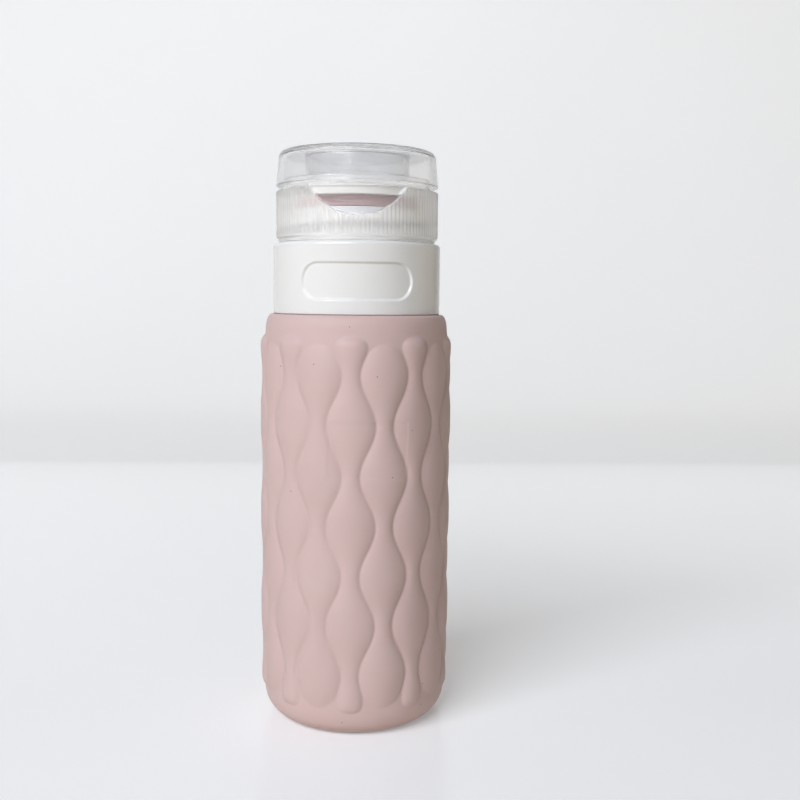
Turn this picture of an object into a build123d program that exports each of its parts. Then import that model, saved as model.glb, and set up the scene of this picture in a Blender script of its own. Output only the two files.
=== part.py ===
from build123d import *
from math import cos, pi, radians, sin, sqrt
import os

os.makedirs("parts", exist_ok=True)

# Soft travel bottle standing on its base, mm, +Z up.
# The origin is the centre of the foot and the front, with the thumb scoop, faces -Y.

# squeeze body
body_r = 21.5
relief_depth = 0.9
foot_corner_r = 6.0
foot_inner_corner_r = 4.0
body_wall = 1.7
floor_t = 2.4
body_top_z = 91.0
shoulder_inset = 2.6
shoulder_h = 10.0
shoulder_edge_h = 4.0
shoulder_edge_drop = 0.1
plug_inset = 1.7
plug_wall = 2.0
shoulder_wall = 1.8
inner_shoulder_drop = 2.4
inner_throat_drop = 0.5
neck_share = 0.7442
silicone_neck_wall = 1.5
lip_proud = 1.7
lip_t = 2.4
lip_edge_r = 0.4

# wave relief on the squeeze body
column_pairs = 9
wide_column_deg = 17.2
column_gap_deg = 0.3
column_swing_deg = 4.75
column_bite = 0.15
waist_rise = 0.55
wave_count = 3
wave_steps = 4
wave_foot_z = 14.4
wave_top_drop = 12.4
wide_foot_h = 7.3
wide_top_h = 6.4
flare_foot_h = 6.0
flare_foot_deg = 7.4
flare_foot_rise = 0.75
flare_top_h = 5.7
flare_top_deg = 9.4
flare_top_rise = 0.85
flare_end_h = 2.2
flare_shares = (0.5, 1.0)
dome_shares = (0.6, 0.85, 0.97)

# collar
skirt_t = 1.3
collar_h = 15.5
collar_web_t = 2.0
collar_top_edge_r = 0.8
collar_foot_edge_r = 0.25
neck_wall = 1.6
neck_h = 7.25
label_rise = 7.05
label_half_h = 3.9
label_half_arc = 26.9
label_depth = 0.45

# screw thread
thread_pitch = 3.0
thread_turns = 1.25
thread_depth = 1.1
thread_root_w = 1.6
thread_crest_w = 0.7
thread_lead_in = 2.5
thread_bite = 0.35
thread_start_deg = 25

# cap base
cap_wall = 2.1
cap_foot_inset = 0.6
cap_foot_h = 0.6
cap_foot_slope_h = 0.4
deck_t = 1.5
cap_foot_gap = 0.15
rib_count = 120
rib_depth = 0.25
rib_groove_half_w = 0.3
rib_lip = 0.05
rib_start_gap = 0.3
seat_rim_inset = 1.5
seat_rim_t = 0.9
seat_rim_h = 2.4
seat_rim_edge = 0.3
scoop_r = 12.0
scoop_drop = 6.2
scoop_wall = 0.9
scoop_reach = 6.0

# valve seat, valve and its ring
orifice_inset = 2.9
seat_tube_gap = 1.1
seat_tube_t = 1.3
seat_tube_h = 3.5
snap_bead_t = 0.6
snap_bead_h = 0.5
valve_flange_gap = 0.5
valve_flange_t = 0.95
valve_head_proud = 1.1
valve_head_t = 0.75
valve_crown_inset = 1.5
valve_crown_h = 0.3
valve_dish = 0.5
valve_skin_t = 0.8
valve_hollow_inset = 1.4
valve_slit_share = 1.3
valve_slit_w = 0.2
ring_bore_inset = 1.2
ring_gap = 0.3
ring_t = 1.6

# flip lid
lid_gap = 1.2
lid_h = 7.5
lid_taper = 0.7
lid_wall = 1.1
lid_plate_t = 1.0
lid_edge_r = 1.3
lid_foot_edge = 0.15
hanging_ring_inset = 5.8
hanging_ring_t = 1.2
hanging_ring_h = 4.4
hanging_ring_edge_r = 0.35

# strap hinge at the back
pad_half_w = 5.5
pad_proud = 0.3
pad_root_inset = 1.4
base_pad_h = 2.6
lid_pad_h = 2.6
strap_t = 0.4
strap_web_t = 0.22
strap_web_h = 0.7
strap_half_w = 5.0
strap_overlap = 1.9

# clearances
static_fit = 0.05
soft_fit = 0.1
thread_fit = 0.3
seal_gap = 0.1
overrun = 2.0

# heights and radii that follow from the sizes above
shoulder_r = body_r - shoulder_inset
inner_shoulder_r = shoulder_r - shoulder_wall
plug_r = shoulder_r - plug_inset
silicone_neck_r = plug_r * neck_share
silicone_bore_r = silicone_neck_r - silicone_neck_wall
lip_r = silicone_neck_r + lip_proud
skirt_in_r = plug_r + soft_fit
collar_r = skirt_in_r + skirt_t
collar_foot_z = body_top_z + static_fit
label_z = collar_foot_z + label_rise
collar_top_z = body_top_z + collar_h
web_foot_z = collar_top_z - collar_web_t
plug_top_z = web_foot_z - static_fit
neck_bore_r = silicone_neck_r + soft_fit
neck_r = neck_bore_r + neck_wall
neck_top_z = collar_top_z + neck_h
lip_foot_z = neck_top_z + static_fit
lip_top_z = lip_foot_z + lip_t
thread_crest_r = neck_r + thread_depth
cap_bore_r = thread_crest_r + thread_fit
cap_r = cap_bore_r + cap_wall
cap_foot_r = cap_r - cap_foot_inset
seat_rim_r = cap_r - seat_rim_inset
lid_top_r = cap_r - lid_taper
pad_reach = cap_r + pad_proud
pad_root = cap_r - pad_root_inset
cap_thread_crest_r = cap_bore_r - thread_depth
neck_thread_z = collar_top_z + thread_lead_in
cap_thread_z = neck_thread_z - thread_pitch / 2
cap_foot_z = collar_top_z + cap_foot_gap
cap_band_z = cap_foot_z + cap_foot_h
deck_foot_z = lip_top_z + seal_gap
deck_top_z = deck_foot_z + deck_t
cap_top_z = deck_top_z
scoop_foot_z = cap_top_z - scoop_drop
thread_rise = thread_pitch * thread_turns
lid_foot_z = cap_top_z + lid_gap
lid_top_z = lid_foot_z + lid_h
lid_ceiling_z = lid_top_z - lid_plate_t
seat_rim_top_z = cap_top_z + seat_rim_h
ring_foot_z = lid_ceiling_z - hanging_ring_h
hanging_ring_r = lid_top_r - hanging_ring_inset
seat_tube_out_r = silicone_bore_r - seat_tube_gap
seat_tube_r = seat_tube_out_r - seat_tube_t
orifice_r = seat_tube_r - orifice_inset
valve_flange_r = seat_tube_r - valve_flange_gap
valve_head_r = orifice_r + valve_head_proud
valve_crown_r = valve_head_r - valve_crown_inset
valve_hollow_r = orifice_r - valve_hollow_inset
valve_slit_l = valve_hollow_r * valve_slit_share
ring_bore_r = orifice_r - ring_bore_inset
ring_r = seat_tube_r - ring_gap

# WAVE RELIEF: upright columns of soft drops, where one column's waists lie beside the next one's bellies
band_r = body_r - relief_depth
wave_top_z = body_top_z - wave_top_drop
column_step_deg = 360 / column_pairs
narrow_column_deg = wide_column_deg - column_step_deg / 2
mean_half_deg = (column_step_deg / 2 - column_gap_deg) / 2
belly_half_deg = mean_half_deg + column_swing_deg
waist_half_deg = mean_half_deg - column_swing_deg


def wave_rows(way):
    rows = []
    steps = wave_count * wave_steps
    for step in range(steps + 1):
        swing = way * cos(2 * pi * step / wave_steps)
        z = wave_foot_z + (wave_top_z - wave_foot_z) * step / steps
        rise = (relief_depth + waist_rise) / 2 + (relief_depth - waist_rise) / 2 * swing
        rows.append((z, mean_half_deg + column_swing_deg * swing, rise))
    return rows


def flare_rows(z, length, half_deg, rise):
    return [
        (
            z + length * share,
            waist_half_deg + (half_deg - waist_half_deg) * share * share,
            waist_rise + (rise - waist_rise) * share,
        )
        for share in flare_shares
    ]


def dome_rows(z, length, half_deg, rise):
    return [
        (z + length * share, half_deg * sqrt(1 - share * share), rise * (1 - share * share))
        for share in dome_shares
    ]


def relief_column(rows):
    foot_r = band_r - column_bite
    with BuildPart() as column:
        for z, half_deg, rise in sorted(rows):
            x = foot_r * sin(radians(half_deg))
            y = -foot_r * cos(radians(half_deg))
            with BuildSketch(Plane.XY.offset(z)):
                with BuildLine():
                    ThreePointArc((-x, y), (0, -band_r - rise), (x, y))
                    Line((x, y), (-x, y))
                make_face()
        loft()
    return column.part


wide_column = relief_column(
    dome_rows(wave_foot_z, -wide_foot_h, belly_half_deg, relief_depth)
    + wave_rows(1)
    + dome_rows(wave_top_z, wide_top_h, belly_half_deg, relief_depth)
)
narrow_column = relief_column(
    dome_rows(wave_foot_z - flare_foot_h, -flare_end_h, flare_foot_deg, flare_foot_rise)
    + flare_rows(wave_foot_z, -flare_foot_h, flare_foot_deg, flare_foot_rise)
    + wave_rows(-1)
    + flare_rows(wave_top_z, flare_top_h, flare_top_deg, flare_top_rise)
    + dome_rows(wave_top_z + flare_top_h, flare_end_h, flare_top_deg, flare_top_rise)
)

# SQUEEZE BODY: one soft moulding with a closed foot, a rounded shoulder, a neck and an outturned lip
inner_r = band_r - body_wall
shoulder_edge_r = band_r - shoulder_edge_drop
plug_in_r = plug_r - plug_wall
inner_plug_top_z = plug_top_z - plug_wall
with BuildPart() as squeeze_body:
    with BuildSketch(Plane.XZ):
        with BuildLine():
            Line((0, 0), (band_r - foot_corner_r, 0))
            TangentArc((band_r - foot_corner_r, 0), (band_r, foot_corner_r), tangent=(1, 0))
            Polyline(
                (band_r, foot_corner_r),
                (band_r, body_top_z - shoulder_h),
                (shoulder_edge_r, body_top_z - shoulder_edge_h),
            )
            TangentArc(
                (shoulder_edge_r, body_top_z - shoulder_edge_h),
                (shoulder_r, body_top_z),
                tangent=(shoulder_edge_r - band_r, shoulder_h - shoulder_edge_h),
            )
            Polyline(
                (shoulder_r, body_top_z),
                (plug_r, body_top_z),
                (plug_r, plug_top_z),
                (silicone_neck_r, plug_top_z),
                (silicone_neck_r, lip_foot_z),
                (lip_r, lip_foot_z),
                (lip_r, lip_top_z),
                (silicone_bore_r, lip_top_z),
                (silicone_bore_r, inner_plug_top_z + inner_throat_drop),
                (silicone_bore_r + inner_throat_drop, inner_plug_top_z),
                (plug_in_r, inner_plug_top_z),
                (plug_in_r, body_top_z - inner_throat_drop),
                (inner_shoulder_r, body_top_z - inner_shoulder_drop),
            )
            TangentArc(
                (inner_r, body_top_z - shoulder_h - inner_throat_drop),
                (inner_shoulder_r, body_top_z - inner_shoulder_drop),
                tangent=(0, 1),
            )
            Line(
                (inner_r, body_top_z - shoulder_h - inner_throat_drop),
                (inner_r, floor_t + foot_inner_corner_r),
            )
            TangentArc(
                (inner_r - foot_inner_corner_r, floor_t),
                (inner_r, floor_t + foot_inner_corner_r),
                tangent=(1, 0),
            )
            Polyline((inner_r - foot_inner_corner_r, floor_t), (0, floor_t), (0, 0))
        make_face()
    revolve(axis=Axis.Z)
    lip_edges = squeeze_body.edges().filter_by(GeomType.CIRCLE).group_by(Axis.Z)[-1]
    fillet(lip_edges.sort_by(SortBy.RADIUS)[-1], lip_edge_r)
    for pair in range(column_pairs):
        add(wide_column, rotation=(0, 0, wide_column_deg + column_step_deg * pair))
        add(narrow_column, rotation=(0, 0, narrow_column_deg + column_step_deg * pair))
squeeze_body.part.label = "squeeze_body"

# NECK THREAD: one right-hand ridge that climbs round the collar's neck
with BuildPart() as neck_thread:
    with BuildLine() as neck_helix:
        Helix(thread_pitch, thread_rise, neck_r, center=(0, 0, neck_thread_z))
    with BuildSketch(Plane.XZ):
        with BuildLine():
            Polyline(
                (neck_r - thread_bite, neck_thread_z - thread_root_w / 2),
                (thread_crest_r, neck_thread_z - thread_crest_w / 2),
                (thread_crest_r, neck_thread_z + thread_crest_w / 2),
                (neck_r - thread_bite, neck_thread_z + thread_root_w / 2),
                close=True,
            )
        make_face()
    sweep(path=neck_helix.wires()[0], is_frenet=True)

# LABEL TOOL: an obround pocket bent round the collar's front, from the pocket floor outwards
label_floor_r = collar_r - label_depth
with BuildPart() as label_tool:
    with BuildSketch(Plane.XZ.rotated((0, 0, -90 - label_half_arc))):
        with Locations((collar_r, label_z)):
            Rectangle(overrun * 2, label_half_h * 2)
    revolve(axis=Axis.Z, revolution_arc=label_half_arc * 2)
    for way in (-label_half_arc, label_half_arc):
        end_dir = (sin(radians(way)), -cos(radians(way)), 0)
        end_at = (end_dir[0] * (collar_r - overrun), end_dir[1] * (collar_r - overrun), label_z)
        with BuildSketch(Plane(origin=end_at, z_dir=end_dir)):
            Circle(label_half_h)
        extrude(amount=overrun * 2)
    with BuildSketch(Plane.XY.offset(label_z - label_half_h - overrun)):
        Circle(label_floor_r)
    extrude(amount=(label_half_h + overrun) * 2, mode=Mode.SUBTRACT)

# COLLAR: stiff skirt over the soft shoulder, a web, and the screw neck
with BuildPart() as collar:
    with BuildSketch(Plane.XZ):
        with BuildLine():
            Polyline(
                (skirt_in_r, collar_foot_z),
                (collar_r, collar_foot_z),
                (collar_r, collar_top_z),
                (neck_r, collar_top_z),
                (neck_r, neck_top_z),
                (neck_bore_r, neck_top_z),
                (neck_bore_r, web_foot_z),
                (skirt_in_r, web_foot_z),
                close=True,
            )
        make_face()
    revolve(axis=Axis.Z)
    outer_edges = collar.edges().filter_by(GeomType.CIRCLE).sort_by(SortBy.RADIUS)[-2:]
    fillet(outer_edges.sort_by(Axis.Z)[-1], collar_top_edge_r)
    outer_edges = collar.edges().filter_by(GeomType.CIRCLE).sort_by(SortBy.RADIUS)[-2:]
    fillet(outer_edges.sort_by(Axis.Z)[0], collar_foot_edge_r)
    add(label_tool.part, mode=Mode.SUBTRACT)
    add(neck_thread.part, rotation=(0, 0, thread_start_deg))
collar.part.label = "collar"

# CAP THREAD: the matching ridge inside the cap, half a pitch below the neck's ridge
with BuildPart() as cap_thread:
    with BuildLine() as cap_helix:
        Helix(thread_pitch, thread_rise, cap_bore_r, center=(0, 0, cap_thread_z))
    with BuildSketch(Plane.XZ):
        with BuildLine():
            Polyline(
                (cap_bore_r + thread_bite, cap_thread_z - thread_root_w / 2),
                (cap_thread_crest_r, cap_thread_z - thread_crest_w / 2),
                (cap_thread_crest_r, cap_thread_z + thread_crest_w / 2),
                (cap_bore_r + thread_bite, cap_thread_z + thread_root_w / 2),
                close=True,
            )
        make_face()
    sweep(path=cap_helix.wires()[0], is_frenet=True)

# SCOOP TOOL: the round thumb cut in the front of the cap wall, under the lid's rim
with BuildPart() as scoop_tool:
    with BuildSketch(Plane.XZ.offset(cap_r - scoop_reach)):
        with Locations((0, scoop_foot_z + scoop_r)):
            Circle(scoop_r)
    extrude(amount=scoop_reach + overrun)
    with BuildSketch(Plane.XY.offset(cap_foot_z)):
        Circle(cap_bore_r + scoop_wall)
    extrude(amount=scoop_r * 2 + scoop_foot_z - cap_foot_z + overrun, mode=Mode.SUBTRACT)

# CAP BASE: ribbed screw cap with a deck, a rim that the lid closes over and a valve seat
seat_tube_foot_z = deck_foot_z - seat_tube_h
rim_in_r = seat_rim_r - seat_rim_t
rib_mouth_half_w = rib_groove_half_w * (rib_depth + rib_lip) / rib_depth
with BuildPart() as cap_base:
    with BuildSketch(Plane.XZ):
        with BuildLine():
            Polyline(
                (cap_bore_r, cap_foot_z),
                (cap_foot_r, cap_foot_z),
                (cap_foot_r, cap_band_z),
                (cap_r, cap_band_z + cap_foot_slope_h),
                (cap_r, cap_top_z),
                (seat_rim_r, cap_top_z),
                (seat_rim_r, seat_rim_top_z - seat_rim_edge),
                (seat_rim_r - seat_rim_edge, seat_rim_top_z),
                (rim_in_r, seat_rim_top_z),
                (rim_in_r, deck_top_z),
                (orifice_r, deck_top_z),
                (orifice_r, deck_foot_z),
                (seat_tube_r, deck_foot_z),
                (seat_tube_r, seat_tube_foot_z + snap_bead_h * 2),
                (seat_tube_r - snap_bead_t, seat_tube_foot_z + snap_bead_h),
                (seat_tube_r - snap_bead_t, seat_tube_foot_z),
                (seat_tube_out_r, seat_tube_foot_z),
                (seat_tube_out_r, deck_foot_z),
                (cap_bore_r, deck_foot_z),
                close=True,
            )
        make_face()
    revolve(axis=Axis.Z)
    with BuildSketch(Plane.XY.offset(cap_band_z + cap_foot_slope_h + rib_start_gap)):
        with PolarLocations(cap_r, rib_count):
            Polygon(
                (-rib_depth, 0),
                (rib_lip, rib_mouth_half_w),
                (rib_lip, -rib_mouth_half_w),
                align=None,
            )
    extrude(
        amount=cap_top_z - cap_band_z - cap_foot_slope_h - rib_start_gap + overrun,
        mode=Mode.SUBTRACT,
    )
    add(scoop_tool.part, mode=Mode.SUBTRACT)
    add(cap_thread.part, rotation=(0, 0, thread_start_deg))
    with BuildSketch(Plane.XY.offset(cap_top_z - base_pad_h)):
        with Locations((0, (pad_root + pad_reach) / 2)):
            Rectangle(pad_half_w * 2, pad_reach - pad_root)
    extrude(amount=base_pad_h)
cap_base.part.label = "cap_base"

# FLIP LID: clear shallow cup with a ring that hangs from its ceiling round the valve
with BuildPart() as flip_lid:
    with BuildSketch(Plane.XZ):
        with BuildLine():
            Polyline(
                (cap_r - lid_wall, lid_foot_z),
                (cap_r, lid_foot_z),
                (lid_top_r, lid_top_z),
                (0, lid_top_z),
                (0, lid_ceiling_z),
                (hanging_ring_r - hanging_ring_t, lid_ceiling_z),
                (hanging_ring_r - hanging_ring_t, ring_foot_z),
                (hanging_ring_r, ring_foot_z),
                (hanging_ring_r, lid_ceiling_z),
                (lid_top_r - lid_wall, lid_ceiling_z),
                close=True,
            )
        make_face()
    revolve(axis=Axis.Z)
    fillet(flip_lid.edges().filter_by(GeomType.CIRCLE).group_by(Axis.Z)[-1], lid_edge_r)
    ring_edges = flip_lid.edges().filter_by(GeomType.CIRCLE).filter_by_position(
        Axis.Z, ring_foot_z - lid_foot_edge, ring_foot_z + lid_foot_edge
    )
    fillet(ring_edges, hanging_ring_edge_r)
    foot_edges = flip_lid.edges().filter_by(GeomType.CIRCLE).group_by(Axis.Z)[0]
    chamfer(foot_edges, lid_foot_edge)
    with BuildSketch(Plane.XY.offset(lid_foot_z)):
        with Locations((0, (pad_root + pad_reach) / 2)):
            Rectangle(pad_half_w * 2, pad_reach - pad_root)
        Circle(cap_r - lid_wall, mode=Mode.SUBTRACT)
    extrude(amount=lid_pad_h)
flip_lid.part.label = "flip_lid"

# LIVING HINGE: thin strap over both pads, thinnest where it bends
strap_in_y = pad_reach + static_fit
strap_out_y = strap_in_y + strap_t
bend_z = cap_top_z + lid_gap / 2
strap_foot_z = cap_top_z - strap_overlap
strap_top_z = lid_foot_z + strap_overlap
with BuildPart() as living_hinge:
    with BuildSketch(Plane.YZ.offset(-strap_half_w)):
        with BuildLine():
            Polyline(
                (strap_in_y, strap_foot_z),
                (strap_out_y, strap_foot_z),
                (strap_out_y, bend_z - strap_web_h / 2 - strap_web_t),
                (strap_in_y + strap_web_t, bend_z - strap_web_h / 2),
                (strap_in_y + strap_web_t, bend_z + strap_web_h / 2),
                (strap_out_y, bend_z + strap_web_h / 2 + strap_web_t),
                (strap_out_y, strap_top_z),
                (strap_in_y, strap_top_z),
                close=True,
            )
        make_face()
    extrude(amount=strap_half_w * 2)
living_hinge.part.label = "living_hinge"

# NO-DRIP VALVE: soft disc held in the deck's hole, with a cross slit in its thin middle
valve_neck_r = orifice_r - static_fit
valve_foot_z = deck_foot_z - static_fit - valve_flange_t
valve_head_z = deck_top_z + static_fit
valve_crown_z = valve_head_z + valve_head_t + valve_crown_h
valve_mid_z = valve_crown_z - valve_dish
with BuildPart() as no_drip_valve:
    with BuildSketch(Plane.XZ):
        with BuildLine():
            Polyline(
                (valve_hollow_r, valve_foot_z),
                (valve_flange_r, valve_foot_z),
                (valve_flange_r, valve_foot_z + valve_flange_t),
                (valve_neck_r, valve_foot_z + valve_flange_t),
                (valve_neck_r, valve_head_z),
                (valve_head_r, valve_head_z),
                (valve_head_r, valve_head_z + valve_head_t),
                (valve_crown_r, valve_crown_z),
                (0, valve_mid_z),
                (0, valve_mid_z - valve_skin_t),
                (valve_hollow_r, valve_mid_z - valve_skin_t),
                close=True,
            )
        make_face()
    revolve(axis=Axis.Z)
    with BuildSketch(Plane.XY.offset(valve_foot_z)):
        Rectangle(valve_slit_l, valve_slit_w)
        Rectangle(valve_slit_w, valve_slit_l)
    extrude(amount=valve_crown_z - valve_foot_z, mode=Mode.SUBTRACT)
no_drip_valve.part.label = "no_drip_valve"

# VALVE RING: stiff washer snapped in the seat tube, under the valve's flange
ring_top_z = valve_foot_z - static_fit
with BuildPart() as valve_ring:
    with BuildSketch(Plane.XY.offset(ring_top_z - ring_t)):
        Circle(ring_r)
        Circle(ring_bore_r, mode=Mode.SUBTRACT)
    extrude(amount=ring_t)
valve_ring.part.label = "valve_ring"

export_step(squeeze_body.part, "parts/squeeze_body.step")
export_step(collar.part, "parts/collar.step")
export_step(cap_base.part, "parts/cap_base.step")
export_step(flip_lid.part, "parts/flip_lid.step")
export_step(living_hinge.part, "parts/living_hinge.step")
export_step(no_drip_valve.part, "parts/no_drip_valve.step")
export_step(valve_ring.part, "parts/valve_ring.step")
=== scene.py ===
import math

import bmesh
import bpy
import numpy as np
from mathutils import Matrix, Vector


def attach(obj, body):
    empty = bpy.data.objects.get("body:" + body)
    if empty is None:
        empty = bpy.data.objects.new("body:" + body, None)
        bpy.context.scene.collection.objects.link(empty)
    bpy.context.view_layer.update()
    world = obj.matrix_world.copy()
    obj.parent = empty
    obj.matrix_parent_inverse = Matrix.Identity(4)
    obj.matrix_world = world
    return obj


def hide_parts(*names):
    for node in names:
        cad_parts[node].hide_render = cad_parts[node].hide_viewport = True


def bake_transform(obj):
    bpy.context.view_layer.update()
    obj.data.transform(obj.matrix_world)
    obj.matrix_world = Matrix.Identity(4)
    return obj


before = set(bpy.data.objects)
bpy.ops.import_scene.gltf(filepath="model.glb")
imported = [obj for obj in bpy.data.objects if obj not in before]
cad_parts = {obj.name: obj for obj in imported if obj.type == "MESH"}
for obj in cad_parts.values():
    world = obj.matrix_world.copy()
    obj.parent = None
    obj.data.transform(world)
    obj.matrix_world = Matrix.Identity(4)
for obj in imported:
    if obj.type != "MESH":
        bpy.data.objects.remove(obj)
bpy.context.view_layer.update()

# A soft travel bottle in its own frame: +Z up, the front at -Y, the origin at the centre of the foot.
# The bottle's shapes are written in mm, and become metres where a mesh is made. The floor, materials,
# lamps and the camera are in metres. Angles round the bottle are in degrees, from the front towards +X.
MM = 0.001
BACK = 180.0
SIDE = 90.0
scene = bpy.context.scene

# shape helpers
LONGEST_EDGE_SHARE = 0.49
MERGE_DISTANCE = 2e-6


def smoothstep(t):
    t = np.clip(t, 0.0, 1.0)
    return t * t * (3.0 - 2.0 * t)


def rounded_loop(corners, steps=6):
    """Closed loop of (r, z) points from corners (r, z, edge radius)."""
    points = []
    for i, (r, z, edge_r) in enumerate(corners):
        if edge_r <= 0:
            points.append((r, z))
            continue
        corner = np.array([r, z], float)
        before = np.array(corners[i - 1][:2], float) - corner
        after = np.array(corners[(i + 1) % len(corners)][:2], float) - corner
        before_length = np.linalg.norm(before)
        after_length = np.linalg.norm(after)
        before = before / before_length
        after = after / after_length
        half_angle = math.acos(max(-1.0, min(1.0, float(before @ after)))) / 2
        longest = LONGEST_EDGE_SHARE * min(before_length, after_length)
        reach = min(edge_r / math.tan(half_angle), longest)
        middle = (before + after) / np.linalg.norm(before + after)
        centre = corner + middle * (reach / math.cos(half_angle))
        start = corner + before * reach - centre
        end = corner + after * reach - centre
        sweep = math.atan2(start[0] * end[1] - start[1] * end[0], float(start @ end))
        for k in range(steps + 1):
            c = math.cos(sweep * k / steps)
            s = math.sin(sweep * k / steps)
            points.append((centre[0] + c * start[0] - s * start[1], centre[1] + s * start[0] + c * start[1]))
    return points


def subdivided(loop, longest):
    """The closed loop with its runs cut so that none is longer than longest(r, z) at its middle."""
    points = []
    for i, (r0, z0) in enumerate(loop):
        r1, z1 = loop[(i + 1) % len(loop)]
        limit = longest((r0 + r1) / 2, (z0 + z1) / 2)
        parts = max(1, math.ceil(math.hypot(r1 - r0, z1 - z0) / limit))
        for k in range(parts):
            points.append((r0 + (r1 - r0) * k / parts, z0 + (z1 - z0) * k / parts))
    return points


def spread(loop, angles):
    """Arrays (rows, columns) of the radius, height and angle of a loop turned to each angle."""
    r, z = np.array(loop, float).T
    every_row = np.ones(len(loop))
    every_column = np.ones(len(angles))
    return np.outer(r, every_column), np.outer(z, every_column), np.outer(every_row, angles)


def link_mesh(name, mesh, sharp):
    """An object of the mesh, smooth but for edges that turn more than sharp."""
    mesh.shade_smooth()
    mesh.set_sharp_from_angle(angle=math.radians(sharp))
    ob = bpy.data.objects.new(name, mesh)
    scene.collection.objects.link(ob)
    return ob


def grid_mesh(name, radius, height, angles, sharp):
    """A turned surface, closed both ways, from arrays (rows, columns) of radius and height."""
    rows, cols = radius.shape
    a = np.radians(angles)
    x = radius * np.sin(a)[None, :]
    y = -radius * np.cos(a)[None, :]
    co = np.stack([x, y, height], -1).reshape(-1, 3) * MM
    i = np.arange(rows)[:, None]
    j = np.arange(cols)[None, :]
    next_i = (i + 1) % rows
    next_j = (j + 1) % cols
    corners = [i * cols + j, i * cols + next_j, next_i * cols + next_j, next_i * cols + j]
    quads = np.stack(corners, -1).reshape(-1, 4)
    mesh = bpy.data.meshes.new(name)
    mesh.vertices.add(len(co))
    mesh.vertices.foreach_set("co", co.astype(np.float32).ravel())
    mesh.loops.add(quads.size)
    mesh.loops.foreach_set("vertex_index", quads.astype(np.int32).ravel())
    mesh.polygons.add(len(quads))
    mesh.polygons.foreach_set("loop_start", np.arange(0, quads.size, 4, dtype=np.int32))
    mesh.update(calc_edges=True)
    bm = bmesh.new()
    bm.from_mesh(mesh)
    bmesh.ops.remove_doubles(bm, verts=bm.verts, dist=MERGE_DISTANCE)
    bmesh.ops.recalc_face_normals(bm, faces=bm.faces)
    bm.to_mesh(mesh)
    bm.free()
    return link_mesh(name, mesh, sharp)


def turned(name, loop, angles, shift, sharp):
    """A closed (r, z) loop turned about the axis. shift(r, z, angle) returns the new radius."""
    r, z, a = spread(loop, angles)
    return grid_mesh(name, shift(r, z, a), z, angles, sharp)


def wrap(deg):
    return (deg + 180.0) % 360.0 - 180.0


def arc_length(deg, radius):
    return np.abs(deg) * math.pi / 180 * radius


def mixed(start, end, share):
    return start * (1 - share) + end * share


def even_angles(count):
    return np.arange(count) * 360.0 / count - 180.0


def mixed_angles(fine_from, fine_to, fine_step, coarse_step):
    """Angles over a full turn, fine between two of them and coarse elsewhere."""
    fine = np.arange(fine_from, fine_to, fine_step)
    rest = 360.0 - (fine[-1] - fine[0])
    count = round(rest / coarse_step)
    coarse = fine[-1] + np.arange(1, count) * rest / count
    return np.concatenate([fine, coarse])


# node helpers
NOISE_LOW = 0.3
NOISE_HIGH = 0.7
NOISE_ROUGHNESS = 0.55


def new_material(name):
    mat = bpy.data.materials.new(name)
    mat.use_nodes = True
    nt = mat.node_tree
    nt.nodes.clear()
    out = nt.nodes.new("ShaderNodeOutputMaterial")
    bsdf = nt.nodes.new("ShaderNodeBsdfPrincipled")
    nt.links.new(bsdf.outputs["BSDF"], out.inputs["Surface"])
    return mat, nt, bsdf, out


def set_inputs(node, values):
    for name, value in values.items():
        node.inputs[name].default_value = value


def coords(nt):
    return nt.nodes.new("ShaderNodeTexCoord").outputs["Object"]


def part_of(nt, vector, axis):
    split = nt.nodes.new("ShaderNodeSeparateXYZ")
    nt.links.new(vector, split.inputs[0])
    return split.outputs[axis]


def length_of(nt, vector):
    node = nt.nodes.new("ShaderNodeVectorMath")
    node.operation = "LENGTH"
    nt.links.new(vector, node.inputs[0])
    return node.outputs["Value"]


def maths(nt, operation, *values):
    """A Math node, where each value is a number or a socket."""
    node = nt.nodes.new("ShaderNodeMath")
    node.operation = operation
    for socket, value in zip(node.inputs, values):
        if isinstance(value, bpy.types.NodeSocket):
            nt.links.new(value, socket)
        else:
            socket.default_value = value
    return node.outputs[0]


def noise(nt, vector, scale, detail=3.0):
    node = nt.nodes.new("ShaderNodeTexNoise")
    set_inputs(node, {"Scale": scale, "Detail": detail, "Roughness": NOISE_ROUGHNESS})
    nt.links.new(vector, node.inputs["Vector"])
    return node.outputs["Fac"]


def ramp(nt, fac, stops):
    node = nt.nodes.new("ShaderNodeValToRGB")
    elements = node.color_ramp.elements
    while len(elements) < len(stops):
        elements.new(0.5)
    for element, (position, colour) in zip(elements, stops):
        element.position = position
        element.color = (*colour, 1.0)
    nt.links.new(fac, node.inputs["Fac"])
    return node.outputs["Color"]


def grey_ramp(nt, fac, stops):
    return ramp(nt, fac, [(position, (value, value, value)) for position, value in stops])


def clouded(nt, vector, scale, dark, light):
    """A colour that drifts between two by a noise."""
    return ramp(nt, noise(nt, vector, scale), [(NOISE_LOW, dark), (NOISE_HIGH, light)])


def remap(nt, fac, to_low, to_high, from_low=NOISE_LOW, from_high=NOISE_HIGH):
    """A value that runs from to_low to to_high while fac runs from from_low to from_high."""
    node = nt.nodes.new("ShaderNodeMapRange")
    set_inputs(node, {"From Min": from_low, "From Max": from_high, "To Min": to_low, "To Max": to_high})
    nt.links.new(fac, node.inputs["Value"])
    return node.outputs["Result"]


def bump(nt, height, strength, distance, normal=None):
    node = nt.nodes.new("ShaderNodeBump")
    set_inputs(node, {"Strength": strength, "Distance": distance})
    nt.links.new(height, node.inputs["Height"])
    if normal is not None:
        nt.links.new(normal, node.inputs["Normal"])
    return node.outputs["Normal"]


def colour_socket(sockets, name):
    return next(s for s in sockets if s.name == name and s.type == "RGBA")


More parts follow.
